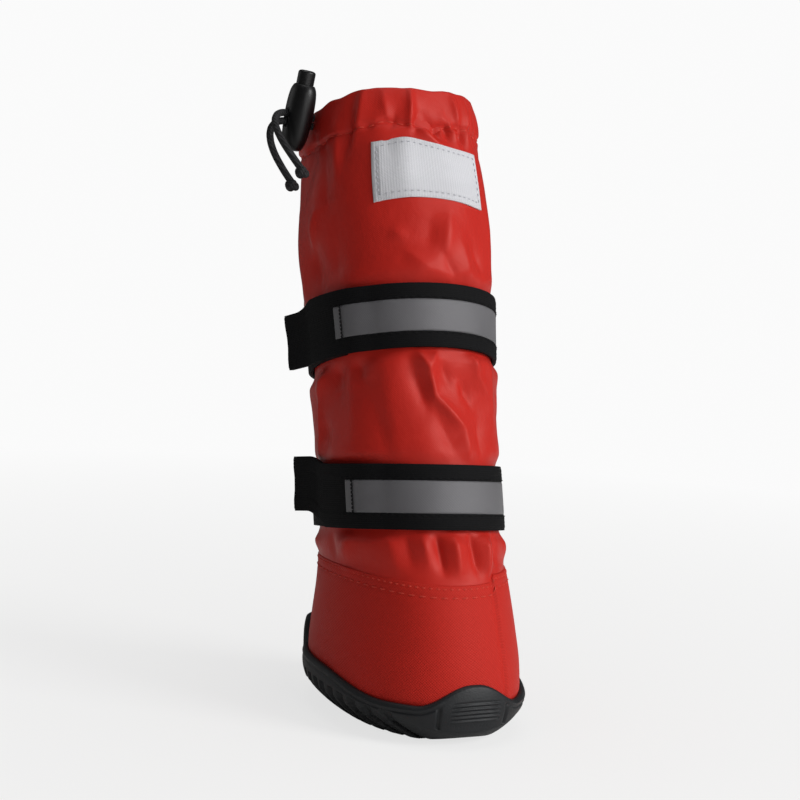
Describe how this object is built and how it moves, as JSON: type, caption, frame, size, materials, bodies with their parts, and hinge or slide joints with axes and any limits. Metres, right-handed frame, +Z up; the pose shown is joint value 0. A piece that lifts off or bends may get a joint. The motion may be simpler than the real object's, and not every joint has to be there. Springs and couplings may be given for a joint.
{
  "type": "dog bootie",
  "caption": "Tall soft dog boot: round fabric shaft leaning back over a moulded rubber cup sole, with hook and loop straps round the shaft and a drawcord with a cord lock at the collar.",
  "frame": {"origin": "on the ground plane, on the flat middle rib of the tread under the foot, on the left to right middle line", "axes": "+Z up along the standing boot, -Y towards the toe, +Y towards the heel, +X to the side that the reflective strap runs round"},
  "size_m": [0.0776, 0.1164, 0.2074],
  "materials": {
    "sole_rubber": "satin black moulded rubber",
    "shaft_fabric": "red coated woven nylon, soft sheen",
    "insole_foam": "dark knitted cloth on foam",
    "webbing": "black woven webbing with hook and loop facing",
    "lock_plastic": "black moulded plastic",
    "drawcord": "black braided elastic cord"
  },
  "bodies": {
    "boot": {"outsole": "sole_rubber", "upper": "shaft_fabric", "insole": "insole_foam", "strap_upper": "webbing", "strap_upper_loop": "webbing", "strap_lower": "webbing", "strap_lower_loop": "webbing", "cord_lock_body": "lock_plastic", "cord_leg_upper": "drawcord", "cord_leg_lower": "drawcord"},
    "lock_button": {"cord_lock_button": "lock_plastic"}
  },
  "joints": [
    {"name": "lock_button_press", "type": "slide", "parent": "boot", "child": "lock_button", "axis": [-0.118, 0.0985, -0.9881], "range_m": [0, 0.0022], "stiffness_N_per_m": 200, "springref_m": -0.004}
  ]
}
